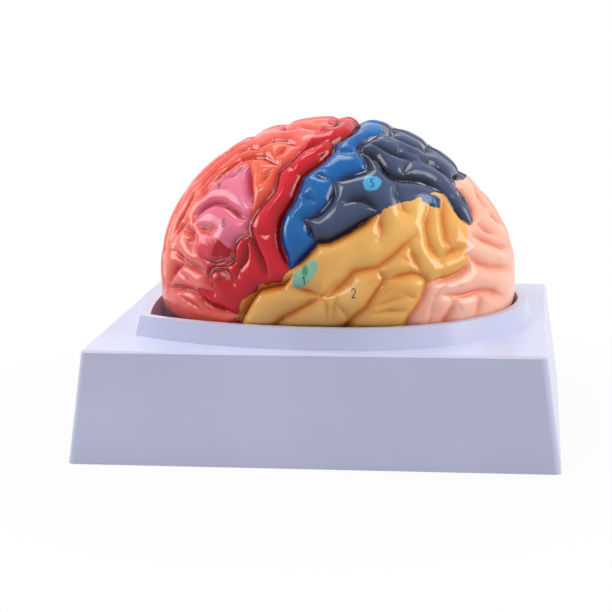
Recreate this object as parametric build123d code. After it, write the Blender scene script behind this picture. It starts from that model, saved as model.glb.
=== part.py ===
from build123d import *
import math
import os

import numpy as np
from scipy.spatial import Delaunay

# A painted anatomy model of the human brain in a moulded tray.
# Two cast halves meet at the middle plane on two locating pins and stand in the tray's recess.
# Millimetres. +Z is up, the frontal pole points to -X, the left half is on the -Y side.
# The origin is the middle of the tray's footprint, on the table.

# Driving sizes of the brain
FRONT_REACH = 83.0          # centre of the brain to the frontal pole
REAR_REACH = 83.5           # centre of the brain to the occipital pole
CROWN_RISE = 71.5           # centre of the brain to the crown
UNDERSIDE_DROP = 36.0       # centre of the brain to the underside of the cerebrum
HALF_WIDTH = 66.0           # middle plane to the side of one half
REAR_FLARE = 0.02           # how much wider the back is than the middle
CROWN_POWER = 2.0           # roundness of the side view above the centre
UNDERSIDE_POWER = 3.2       # roundness of the side view below the centre
SIDE_POWER = 2.1            # roundness of the front view
NAPE_FLAT = 0.045           # how much the slope behind the crown is flattened
NAPE_ANGLE = 38.0           # where that flat lies, degrees above the horizontal
NAPE_SPREAD = 24.0          # how far it spreads, degrees
HALF_GAP = 0.6              # gap left between the two halves

# Cerebellum and brainstem under the cerebrum, as offsets from the centre of the brain
CEREBELLUM_AT = (38.0, 19.0, -36.0)
CEREBELLUM_RADII = (24.0, 24.0, 21.0)
STEM_AT = (7.0, 0.0, -33.0)
STEM_RADII = (12.0, 13.0, 24.5)

# Folds of the cortex
FISSURE_WIDTH = 7.0         # rounding of each half towards the middle plane
FISSURE_DEPTH = 4.5
FACET = 5.4                 # spacing of the skin's points between folds, degrees
FOLD_STEP = 4.0             # spacing of the points along a fold, degrees
SHOULDER = 2.0              # distance from a fold's bottom to its shoulder, degrees
FOLD_END = 7.0              # length over which a fold runs out at a free end

# Tray
BLOCK_HEIGHT = 49.0         # table to the top of the block
COLLAR_RISE = 9.0           # top of the block to the rim
DRAFT = 6.0                 # how far each side leans out from top to foot
WALL = 2.5                  # wall of the moulding
EDGE_BEVEL = 0.9            # bevel along the block's top edges
CORNER_ROUND = 3.0          # rounding of the block's four corners
INNER_ROUND = 0.5           # least rounding of those corners from within
RIM_GAP = 1.7               # brain to the inner edge of the rim
RIM_WIDTH = 4.0             # flat of the rim
COLLAR_LEAN = 3.0           # how far the collar's outer wall leans out
FRONT_LAND = 12.6           # collar to the front edge of the block
REAR_LAND = 6.2             # collar to the rear edge of the block
SIDE_LAND = 4.7             # collar to the side edges of the block
WIDEST_BEHIND = 11.0        # widest place of the collar behind the centre of the brain
FRONT_SWEEP = 122.0         # long radius of the recess ahead of its widest place
FRONT_BOW = 4.0             # how far the collar's blunt front bows out
RECESS_LEAN = 7.0           # how far the recess wall leans in down to the shelf
WELL_INSET = 1.0            # shelf's edge round the rear well
WELL_LEAN = 2.0             # how far the well's wall leans in down to its floor
WELL_FLOOR = 14.0           # table to the floor of the well
WELL_FRONT = 22.0           # front of the well ahead of the centre of the brain
SEAT_CLEARANCE = 0.3        # between the brain and what it stands on

# Locating pins
PIN_DIAMETER = 6.0
PIN_LENGTH = 24.0
PIN_CLEARANCE = 0.15        # round each pin
PIN_END_CLEARANCE = 0.3     # at each end of a pin
PIN_CHAMFER = 0.8
PIN_PLACES = {"front_locating_pin": (-42.0, 8.0), "rear_locating_pin": (42.0, 12.0)}

# Kinds of fold: width to each side and depth
KINDS = {
    "deep": (5.5, 5.0),
    "fold": (5.0, 3.6),
    "crease": (4.0, 2.4),
    "soft": (6.5, 3.0),
    "faint": (5.5, 1.7),
}

# Courses of the folds on one half, as seen straight from its side.
# Each point is (degrees towards the back, degrees up) from the side's middle.
FOLDS = [
    # central and lateral folds
    ("deep", (15, 89), (13.5, 80), (12, 74), (7.5, 69), (3.3, 65), (3.2, 60.5), (-0.8, 54.8),
     (-4.8, 51.5), (-8.8, 47.8), (-9.8, 43), (-11.5, 37.3), (-15.4, 31), (-16.5, 25.5),
     (-15.5, 19.5), (-12.8, 14), (-11.3, 10.3)),
    ("deep", (-33, -13), (-31, -8), (-28, -3), (-24.5, 1.8), (-20, 3.3), (-14, 4.6), (-10.8, 8)),
    ("deep", (-11.3, 10.3), (-8, 13), (-5.2, 15.8), (-2.7, 18.6), (-0.8, 20.9), (4.2, 21.2),
     (10.8, 24.6), (18.5, 29.3), (22.8, 32.2)),
    # either side of the two bands beside the central fold
    ("fold", (-20.2, 7.8), (-23.6, 15), (-25.8, 19.3), (-28.5, 25.5), (-27.8, 29.5),
     (-24.5, 34.5), (-20, 40.5), (-19.3, 45), (-19.3, 49), (-14.5, 54.7), (-10.3, 61),
     (-4.5, 64), (0, 66)),
    ("fold", (-0.8, 20.9), (-3.2, 23.5), (-4.2, 26.5), (-6.5, 29.8)),
    ("fold", (-6.5, 29.8), (-2.3, 30.8), (1.2, 33.2), (3.8, 36.5), (4.9, 40), (4.9, 44.6)),
    ("fold", (4.9, 44.6), (8, 46.4), (12, 47.8), (16.5, 49.2), (19.3, 50.6), (18.3, 55),
     (15.6, 59.5), (14.3, 62.3), (16.5, 65.2), (20.5, 68.5), (25, 72)),
    ("crease", (-6.5, 48.2), (-2.5, 47.6), (1, 46.2), (4.9, 44.6)),
    ("crease", (3.2, 60.2), (6, 59), (9, 58.3), (12, 58)),
    ("crease", (-6, 54.5), (-1.5, 58), (2, 60.5)),
    # parietal lobe
    ("deep", (15.6, 60.5), (21, 58.2), (23.7, 54.8), (26, 50.8), (29.3, 47.4), (33, 46.9),
     (39, 47.2), (44.5, 45.9), (48.5, 43.6), (51.5, 40.8)),
    ("crease", (33, 47.3), (35, 51.3), (38.3, 56)),
    ("crease", (30, 43.5), (30.5, 39.5), (32, 36)),
    ("fold", (9.5, 36), (12, 37.7), (15.3, 38.2), (18.5, 37.3), (21.3, 35.2), (23.2, 32.6)),
    ("fold", (20.5, 65.2), (26, 62.4), (30, 60.1), (34, 58.6), (39.5, 56.3)),
    ("crease", (33, 59.3), (34.6, 64.5)),
    ("crease", (19.5, 69.8), (24, 69.3), (27.5, 67.5)),
    ("crease", (35.5, 62.8), (38, 61.8), (41, 60)),
    ("crease", (30, 71.5), (36, 69.3), (43, 66.7), (48, 63)),
    ("fold", (44, 57), (50, 56), (55, 52.5), (58.5, 48)),
    ("crease", (57.5, 46), (58.7, 42.3), (60.6, 38), (61.5, 34)),
    ("fold", (51.5, 40.8), (54.5, 36), (56.2, 32), (58, 27.6), (60.5, 25.2)),
    ("fold", (57, 47.5), (61.5, 43.5), (64.3, 38), (64.9, 31.5), (62.8, 26)),
    # temporal lobe
    ("soft", (37.3, 22.7), (34.5, 20.3), (31.5, 17.8), (28.5, 15), (25, 12.7), (22.8, 11),
     (18, 10.4), (13.3, 9.4), (10.5, 6), (7.3, 3.3), (4, 0.8), (1.5, -0.2)),
    ("soft", (1.5, -0.2), (-2, 1.8), (-6, 2.6), (-10.5, 4)),
    ("soft", (22.8, 11), (23.6, 8.6), (25, 6), (22.5, 3), (20.3, 0), (17.8, -4), (12.8, -8.3),
     (9, -14), (2, -20)),
    ("soft", (25, 6), (31, 7.6), (35, 8.2), (38.4, 7), (40.4, 4.2), (38.2, -1.5),
     (36.2, -4.8), (33.5, -8.5), (31, -15)),
    ("soft", (34.8, 20.3), (35.5, 16.5), (36.8, 12.3), (38.4, 7)),
    ("soft", (1.5, -0.2), (-2.8, -1.8), (-9, -5.5), (-15, -9), (-20, -14)),
    ("faint", (17.8, -4), (23, -2.8), (28, -1.2), (32, -1)),
    ("soft", (44, 34), (42.6, 29), (42, 24), (42, 20), (42.8, 16.5), (45.5, 12.2)),
    ("soft", (51, 38), (49.8, 32.5), (49.2, 26), (48.9, 20.5), (50.6, 15.3)),
    ("soft", (45.5, 12.2), (48, 14.2), (52, 15.7), (56, 15.6)),
    ("soft", (32, 36), (32.8, 33.5), (34.6, 32)),
    ("soft", (24.5, 33), (23.7, 29), (24.5, 25), (23.5, 22)),
    ("faint", (30.5, 15.5), (33, 13.3), (35.8, 11.8)),
    # occipital lobe
    ("soft", (40.6, 4.1), (44.7, 5), (49, 5.4), (52.5, 6.4), (56, 8.2), (58.5, 11.5)),
    ("soft", (63.5, 26.5), (66.3, 23.7), (69.5, 21.3), (74, 19.5)),
    ("soft", (60.5, 20.3), (65.5, 18), (70, 16), (77, 13.5), (84, 13)),
    ("soft", (56, 13.5), (58.5, 11.5), (60.8, 9.3), (66, 7), (73, 5.5), (80, 4)),
    ("soft", (45.7, -1), (50, -2), (54.5, -2.4), (60, -1.6), (66, -3), (73, -7)),
    ("soft", (50, -2), (49.4, -6), (47.3, -9.5), (44, -16)),
    ("soft", (60.5, -2.2), (60.6, -6), (59, -12)),
    ("faint", (41.8, -1), (41.2, -5), (40, -11)),
    ("fold", (74, 45), (73, 37), (76, 29), (81, 25)),
    # lower frontal lobe
    ("fold", (-53.8, 26.5), (-53.3, 29.8), (-51.3, 32), (-49, 33.6), (-45.5, 34.6),
     (-41.5, 34.5), (-38.5, 33.2), (-35.8, 31.6), (-32.5, 29.8), (-29, 28.3)),
    ("crease", (-52.5, 24.2), (-47.5, 23.7), (-42.5, 23.5)),
    ("fold", (-59, 22.8), (-54.5, 21.3), (-53, 19), (-55.5, 17.8)),
    ("fold", (-64, 13), (-60, 11), (-57, 9.2), (-51.8, 8.3), (-48, 7.2), (-45, 5.6)),
    ("fold", (-66, 0), (-64.5, 3.5), (-62, 6.5), (-57, 9.2)),
    ("fold", (-67, -3), (-61, -1.9), (-55, -1.4), (-50, -2), (-47.5, -5), (-43.5, -6.9),
     (-38, -7.6), (-33, -8.5)),
    ("fold", (-42, -0.6), (-44, 1.5), (-45.2, 5), (-44.5, 7.6), (-41.8, 8.9), (-38, 9.2),
     (-35.3, 6.3), (-33.8, 4)),
    ("fold", (-38, 9.2), (-34.3, 12.2), (-34.9, 16.5), (-33.8, 20.3), (-31, 22), (-28.3, 22.4)),
    ("fold", (-28.6, 21.6), (-29, 17), (-29.4, 13.5), (-31.8, 10.3), (-32, 7)),
    ("fold", (-47, 12.5), (-43.5, 10.7), (-38.8, 12.7), (-34.6, 13.5)),
    ("crease", (-57.2, 18.2), (-54.3, 16.2), (-51.6, 13.6)),
    ("crease", (-64, 13), (-65.2, 18), (-62.5, 23.5), (-57.5, 25.8)),
    ("faint", (-59, 4.3), (-55.5, 2.6), (-50.5, 1.2)),
    ("crease", (-77, 8), (-73.5, 3), (-71, -3)),
    # upper frontal lobe
    ("fold", (-34, 53), (-31.8, 46), (-30, 40), (-27.4, 34)),
    ("crease", (-43.5, 44.8), (-39.5, 47.3), (-35.5, 51.3), (-32.5, 54)),
    ("fold", (-52.5, 38), (-51.5, 42), (-49, 46), (-45, 51), (-39.5, 55.5), (-33.5, 57),
     (-28, 57), (-23.5, 54.5), (-19.5, 52)),
    ("fold", (-58, 41), (-55, 47), (-50, 53.5), (-44, 60), (-38, 63.5), (-33.5, 62.5),
     (-31, 65), (-27, 67.3), (-20, 66.3), (-13, 62.5)),
    ("fold", (-60, 41.5), (-61.5, 34.5), (-63.5, 29), (-66, 24.5), (-67.5, 18)),
    ("crease", (-20, 75), (-14, 76), (-8, 73.5), (-4, 71.5)),
    ("crease", (-48.5, 43.5), (-46, 47), (-43.5, 49.5), (-40, 51.2)),
    ("crease", (-64, 46), (-60, 51), (-57, 56.5), (-52, 61), (-47, 65.5), (-43, 68)),
    ("crease", (-36.5, 64), (-33.3, 61.5), (-30.5, 59.8)),
    ("soft", (-18.5, 62.5), (-20, 58.5), (-22.5, 55)),
    ("crease", (-25.2, 43.2), (-23.6, 47.5), (-20.5, 50.5)),
    ("crease", (-7, 79.6), (-1, 79), (5, 79.2)),
    # round the poles and along the crown
    ("fold", (-74, 38), (-72, 30), (-73, 21), (-74, 12)),
    ("fold", (-84, 20), (-80, 10), (-79, 0), (-81, -10)),
    ("fold", (-46, 75), (-41, 70), (-42, 66)),
    ("crease", (-57, 64), (-53, 59)),
    ("fold", (-28, 83), (-26, 77), (-20, 75)),
    ("fold", (2, 87), (3, 81), (1, 76)),
    ("fold", (32, 82), (33, 77), (30, 71.5)),
    ("fold", (52, 70), (51, 65), (48, 63)),
    ("fold", (69, 55), (65, 51), (58.5, 48)),
    # underside of the cerebrum
    ("soft", (-80, -22), (-68, -19), (-55, -18), (-42, -19)),
    ("soft", (-74, -38), (-58, -36), (-44, -38)),
    ("soft", (-24, -24), (-8, -27), (10, -27), (26, -26), (38, -24)),
    ("soft", (-26, -42), (-8, -44), (10, -43), (24, -40)),
    ("deep", (-33, -13), (-37, -24), (-38, -38), (-34, -52), (-30, -64)),
    # between the cerebrum and the cerebellum, and across the cerebellum
    ("deep", (28, -76), (25, -62), (26, -50), (32, -38), (42, -29), (54, -27), (66, -32),
     (78, -40)),
    ("crease", (33, -62), (36, -50), (44, -41), (56, -39), (68, -44)),
    ("crease", (42, -66), (45, -56), (52, -52), (60, -56)),
]


def cerebrum_reach(aim):
    """Distance from the centre of the brain to the cerebrum's outer egg, along unit directions."""
    x, y, z = aim[..., 0], aim[..., 1], aim[..., 2]
    reach = np.where(x < 0, FRONT_REACH, REAR_REACH)
    rise = np.where(z > 0, CROWN_RISE, UNDERSIDE_DROP)
    power = np.where(z > 0, CROWN_POWER, UNDERSIDE_POWER)
    side_view = ((np.abs(x) / reach) ** power + (np.abs(z) / rise) ** power) ** (1 / power)
    width = HALF_WIDTH * (1 + REAR_FLARE * x)
    size = (side_view ** SIDE_POWER + (np.abs(y) / width) ** SIDE_POWER) ** (1 / SIDE_POWER)
    turn = (np.degrees(np.arctan2(z, x)) - NAPE_ANGLE) / NAPE_SPREAD
    return (1 - NAPE_FLAT * np.exp(-turn ** 2) * (x > 0)) / size


def lobe_reach(aim, middle, radii):
    """Distance to the far side of an ellipsoid that hangs from the cerebrum, 0 where it is missed."""
    scaled = aim / np.array(radii)
    centre = np.array(middle) * (1, -1, 1) / np.array(radii)
    a = (scaled ** 2).sum(-1)
    b = (scaled * centre).sum(-1)
    inside = b ** 2 - a * ((centre ** 2).sum() - 1)
    return np.where(inside > 0, (b + np.sqrt(np.maximum(inside, 0))) / a, 0)


def direction(spots):
    """Unit directions of spots (degrees back, degrees up) on the left half."""
    tilt = np.radians(np.hypot(spots[:, 0], spots[:, 1]))
    turn = np.arctan2(spots[:, 1], spots[:, 0])
    flat = np.sin(tilt)
    return np.stack([flat * np.cos(turn), -np.cos(tilt), flat * np.sin(turn)], -1)


def smooth_points(spots):
    """Points of the unfolded skin, from the centre of the brain."""
    aim = direction(spots)
    reach = np.maximum.reduce([cerebrum_reach(aim),
                               lobe_reach(aim, CEREBELLUM_AT, CEREBELLUM_RADII),
                               lobe_reach(aim, STEM_AT, STEM_RADII)])
    return aim * reach[:, None]


def along(course, step):
    """Points evenly along a course, with both its ends, and the course's direction there."""
    course = np.array(course, float)
    run = np.concatenate([[0], np.cumsum(np.hypot(*np.diff(course, axis=0).T))])
    count = max(2, round(run[-1] / step) + 1)
    places = np.linspace(0, run[-1], count)
    spots = np.stack([np.interp(places, run, course[:, k]) for k in (0, 1)], -1)
    heading = np.gradient(spots, axis=0)
    return spots, heading / np.hypot(*heading.T)[:, None]


def fold_depth(points):
    """How far the folds press each point of the skin in towards the centre."""
    depth = FISSURE_DEPTH * groove(np.abs(points[:, 1]) / FISSURE_WIDTH)
    for kind, *course in FOLDS:
        width, full = KINDS[kind]
        line = smooth_points(along(course, FOLD_STEP / 2)[0])
        starts, ends = line[:-1], line[1:]
        runs = np.linalg.norm(ends - starts, axis=1)
        before = np.concatenate([[0], np.cumsum(runs)])
        for start, end, run, done in zip(starts, ends, runs, before):
            share = np.clip(((points - start) @ (end - start)) / run ** 2, 0, 1)
            gap = np.linalg.norm(points - start - share[:, None] * (end - start), axis=1)
            from_end = np.minimum(done + share * run, before[-1] - done - share * run)
            fade = 0.5 + 0.5 * np.clip(from_end / FOLD_END, 0, 1)
            depth = np.maximum(depth, full * fade * groove(gap / width))
    return depth


def groove(share):
    """Round-shouldered section of a fold: 1 at its bottom, 0 at its full width."""
    return 1 - np.sqrt(1 - (1 - np.clip(share, 0, 1)) ** 2)


def apart(spots, others, distance):
    """The spots that lie at least a distance from all the others."""
    gaps = np.hypot(spots[:, None, 0] - others[None, :, 0], spots[:, None, 1] - others[None, :, 1])
    return spots[gaps.min(1) >= distance]


def thinned(spots, distance):
    """The spots without those that crowd an earlier one."""
    kept = [spots[0]]
    for spot in spots[1:]:
        if min(math.hypot(*(spot - other)) for other in kept) >= distance:
            kept.append(spot)
    return np.array(kept)


def skin_spots():
    """Where the skin's corners lie: the edge, fold bottoms, their shoulders, then the crowns."""
    turns = np.radians(np.arange(0, 360, FOLD_STEP))
    circle = np.stack([np.cos(turns), np.sin(turns)], -1)
    edge = 90 * circle
    margin = [(90 - SHOULDER) * circle, (90 - FACET) * circle]
    bottoms, shoulders = [], []
    for kind, *course in FOLDS:
        spots, heading = along(course, FOLD_STEP)
        across = np.stack([-heading[:, 1], heading[:, 0]], -1)
        bottoms.append(spots)
        shoulders += [spots + SHOULDER * across, spots - SHOULDER * across]
    bottoms = thinned(np.concatenate(bottoms), 0.45 * FOLD_STEP)
    bottoms = apart(bottoms, edge, 0.45 * FOLD_STEP)
    shoulders = apart(np.concatenate(shoulders + margin), bottoms, 0.85 * SHOULDER)
    shoulders = thinned(shoulders, 0.8 * SHOULDER)
    rows = np.arange(-90, 90, FACET * math.sqrt(3) / 2)
    crowns = np.array([(p + FACET / 2 * (k % 2), q) for k, q in enumerate(rows)
                       for p in np.arange(-90, 90, FACET)])
    crowns = apart(crowns, np.concatenate([bottoms, shoulders]), 0.62 * FACET)
    inner = np.concatenate([bottoms, shoulders, crowns])
    inner = inner[np.hypot(*inner.T) < 90 - 0.7 * SHOULDER]
    return edge, inner


def skin_corners():
    """Corners of the folded skin from the centre of the brain, the edge's corners first."""
    edge, inner = skin_spots()
    spots = np.concatenate([edge, inner])
    points = smooth_points(spots)
    points[:len(edge), 1] = 0
    reach = np.linalg.norm(points, axis=1)
    folded = points * (1 - fold_depth(points) / reach)[:, None]
    return spots, folded, len(edge)


def facet(corners):
    """A flat face through the corners."""
    return Face(Wire.make_polygon([Vector(*corner) for corner in corners], close=True))


def half_skin(corners, triangles, rim):
    """The closed skin of the left half about the centre of the brain."""
    faces = [facet(corners[list(three)]) for three in triangles]
    faces.append(facet(corners[:rim]))
    return Solid(Shell(faces))


def left_half(skin, centre):
    """The left half in its place, with a blind hole for half of each pin."""
    half = Pos(centre.X, -HALF_GAP / 2, centre.Z) * skin
    radius = PIN_DIAMETER / 2 + PIN_CLEARANCE
    depth = PIN_LENGTH / 2 + PIN_END_CLEARANCE
    for x, z in PIN_PLACES.values():
        hole = Cylinder(radius, depth, align=(Align.CENTER, Align.CENTER, Align.MIN))
        half -= Pos(centre.X + x, 0, centre.Z + z) * Rot(X=90) * hole
    return half


def locating_pin(centre, x, z):
    """A chamfered pin across the middle plane."""
    pin = Cylinder(PIN_DIAMETER / 2, PIN_LENGTH)
    pin = chamfer(pin.edges().filter_by(GeomType.CIRCLE), PIN_CHAMFER)
    return Pos(centre.X + x, 0, centre.Z + z) * Rot(X=90) * pin


class Plan:
    """Heights and outlines that the tray takes from the brain it holds."""

    def __init__(self, corners):
        low = corners[:, 2].min()
        self.rim = BLOCK_HEIGHT + COLLAR_RISE
        height = WELL_FLOOR + SEAT_CLEARANCE - low
        drop = (height - self.rim) / UNDERSIDE_DROP
        end_share = (1 - drop ** UNDERSIDE_POWER) ** (1 / UNDERSIDE_POWER)
        side_share = (1 - drop ** SIDE_POWER) ** (1 / SIDE_POWER)
        self.front = FRONT_REACH * end_share + RIM_GAP
        self.rear = REAR_REACH * end_share + RIM_GAP
        self.side = HALF_WIDTH * side_share + RIM_GAP
        self.collar = RIM_WIDTH + COLLAR_LEAN
        self.length = self.front + self.rear + 2 * self.collar + FRONT_LAND + REAR_LAND
        self.depth = 2 * (self.side + self.collar + SIDE_LAND)
        self.centre = Vector(FRONT_LAND + self.collar + self.front - self.length / 2, 0, height)
        over_shelf = corners[corners[:, 0] < -WELL_FRONT + FACET]
        self.shelf = height + over_shelf[:, 2].min() - SEAT_CLEARANCE

    def egg(self, inset, height):
        """Outline of the recess's mouth, drawn in by an inset: a blunt-nosed egg."""
        widest = self.centre.X + WIDEST_BEHIND
        side = self.side - inset
        rear = self.rear - WIDEST_BEHIND - inset
        sweep = FRONT_SWEEP - inset
        nose = self.centre.X - self.front + inset
        corner = nose + FRONT_BOW
        angle = math.acos((widest - corner) / sweep)
        y = side * math.sin(angle)
        turn = 90 - math.degrees(angle)
        tail = EllipticalCenterArc((widest, 0), rear, side, -90, arc_size=180)
        right = EllipticalCenterArc((widest, 0), sweep, side, 90, arc_size=turn)
        left = EllipticalCenterArc((widest, 0), sweep, side, 270 - turn, arc_size=turn)
        blunt = ThreePointArc((corner, y), (nose, 0), (corner, -y))
        return Pos(Z=height) * make_face([tail, right, blunt, left])

    def egg_block(self, low_inset, low, high_inset, high):
        """Solid between two outlines, one above the other."""
        return loft([self.egg(low_inset, low), self.egg(high_inset, high)], ruled=True)

    def block(self, inset, top):
        """The drafted block from the table up to a height, drawn in on all sides."""
        spread = 2 * (DRAFT - inset)
        foot = Rectangle(self.length + spread, self.depth + spread)
        solid = extrude(foot, top, taper=math.degrees(math.atan(DRAFT / BLOCK_HEIGHT)))
        corners = solid.edges().filter_by(Plane.XY, reverse=True)
        return fillet(corners, max(CORNER_ROUND - inset, INNER_ROUND))

    def recess(self, grow):
        """The hollow that the brain stands in: a mouth, a front shelf and a rear well."""
        lean = RECESS_LEAN / (self.rim - self.shelf)
        over = 1.0
        mouth = self.egg_block(RECESS_LEAN - grow, self.shelf - grow,
                               -lean * over - grow, self.rim + over)
        inset = RECESS_LEAN + WELL_INSET - grow
        well = self.egg_block(inset + WELL_LEAN, WELL_FLOOR - grow, inset, self.shelf + over)
        cut = self.centre.X - WELL_FRONT - grow
        room = Pos(X=cut) * Box(self.length, self.depth, 2 * self.rim,
                                align=(Align.MIN, Align.CENTER, Align.CENTER))
        return mouth + (well & room)


def base_tray(plan):
    """The moulded tray: a drafted block with a raised collar, hollow from below."""
    block = plan.block(0, BLOCK_HEIGHT)
    top = block.edges().group_by(Axis.Z)[-1]
    block = chamfer(top, EDGE_BEVEL)
    collar = plan.egg_block(-plan.collar, BLOCK_HEIGHT - WALL, -RIM_WIDTH, plan.rim)
    inside = plan.block(WALL, BLOCK_HEIGHT - WALL)
    inside += plan.egg_block(WALL - plan.collar, BLOCK_HEIGHT - 2 * WALL,
                             WALL - RIM_WIDTH, plan.rim - WALL)
    return block + collar - plan.recess(0) - (inside - plan.recess(WALL))


def build():
    os.makedirs("parts", exist_ok=True)
    spots, corners, rim = skin_corners()
    plan = Plan(corners)
    skin = half_skin(corners, Delaunay(spots).simplices, rim)
    left = left_half(skin, plan.centre)
    export_step(left, "parts/left_half.step")
    export_step(left.mirror(Plane.XZ), "parts/right_half.step")
    export_step(base_tray(plan), "parts/base_tray.step")
    for name, (x, z) in PIN_PLACES.items():
        export_step(locating_pin(plan.centre, x, z), f"parts/{name}.step")


build()
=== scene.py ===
import math

import bpy
import numpy as np
from bpy.props import FloatProperty, FloatVectorProperty, IntProperty, PointerProperty
from mathutils import Matrix, Vector


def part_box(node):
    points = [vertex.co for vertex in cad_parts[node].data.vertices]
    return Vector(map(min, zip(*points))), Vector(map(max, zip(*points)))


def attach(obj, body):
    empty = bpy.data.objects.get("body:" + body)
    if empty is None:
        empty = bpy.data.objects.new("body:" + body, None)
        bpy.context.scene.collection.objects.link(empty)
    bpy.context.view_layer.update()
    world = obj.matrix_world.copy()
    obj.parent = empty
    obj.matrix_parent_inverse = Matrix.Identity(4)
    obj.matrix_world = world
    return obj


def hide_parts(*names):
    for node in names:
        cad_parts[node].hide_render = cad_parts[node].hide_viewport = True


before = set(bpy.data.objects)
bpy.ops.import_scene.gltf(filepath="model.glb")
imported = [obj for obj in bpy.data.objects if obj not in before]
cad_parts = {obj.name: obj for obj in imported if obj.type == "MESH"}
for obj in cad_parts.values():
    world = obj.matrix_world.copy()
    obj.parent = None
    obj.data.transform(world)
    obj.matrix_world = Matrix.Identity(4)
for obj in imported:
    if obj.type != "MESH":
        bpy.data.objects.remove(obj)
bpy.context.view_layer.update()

bl_info = {
    "name": "Brain Anatomy Model",
    "version": (1, 0, 0),
    "blender": (4, 5, 0),
    "location": "View3D > Sidebar > Brain Model",
    "description": "Painted, folded halves of a brain model, its tray, its numerals and a studio",
    "category": "Object",
}

MM = 0.001
BODY = "root"
FAR = 1e9
UNPAINTED = -1.0            # what every layer holds in the middle of a half's flat cap
WHITE = (1, 1, 1, 1)

# The brain's outer egg and the lobes under it, in millimetres from its centre and in degrees
FRONT_REACH = 83.0
REAR_REACH = 83.5
CROWN_RISE = 71.5
UNDERSIDE_DROP = 36.0
HALF_WIDTH = 66.0
REAR_FLARE = 0.02
CROWN_POWER = 2.0
UNDERSIDE_POWER = 3.2
SIDE_POWER = 2.1
NAPE_FLAT = 0.045
NAPE_ANGLE = 38.0
NAPE_SPREAD = 24.0
CEREBELLUM_AT = (38.0, 19.0, -36.0)
CEREBELLUM_RADII = (24.0, 24.0, 21.0)
STEM_AT = (7.0, 0.0, -33.0)
STEM_RADII = (12.0, 13.0, 24.5)
FISSURE_WIDTH = 7.0
FISSURE_DEPTH = 4.5
FRONT_PIN_AT = (-42.0, 8.0)
MIDDLE_PLANE = 90           # degrees from the side's middle to the plane between the halves
PLACING_NET = 150           # faces across the net that measures the skin

# How a fold is cut, in millimetres where no other unit is given
FOLD_END = 7.0              # length over which a fold runs out at a free end
FREE_END = 0.5              # share of its depth that it keeps there
SOFT_BOTTOM = 0.7           # rounding of a fold's bottom
SHOULDER = 0.3              # share of a fold's depth that slopes gently, far beside it
SHOULDER_REACH = 9.0        # how far beside it that slope begins
JOIN = 4.0                  # how sharply two folds meet, higher is sharper
SEGMENT = 2.5               # spacing of the points along a fold, degrees

# Kinds of fold: width to each side and depth, in millimetres
KINDS = {
    "deep": (5.5, 5.0),
    "fold": (5.0, 3.6),
    "crease": (4.0, 2.4),
    "soft": (6.5, 3.0),
    "faint": (5.5, 1.7),
    "fine": (4.2, 1.9),
}

# How dark the painted shade line along each kind's bottom is, and how far from it that is felt
LINES = {"deep": 1.0, "fold": 0.92, "crease": 0.85, "soft": 0.45, "faint": 0.3, "fine": 0.3}
LINE_REACH = 2.4

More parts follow.
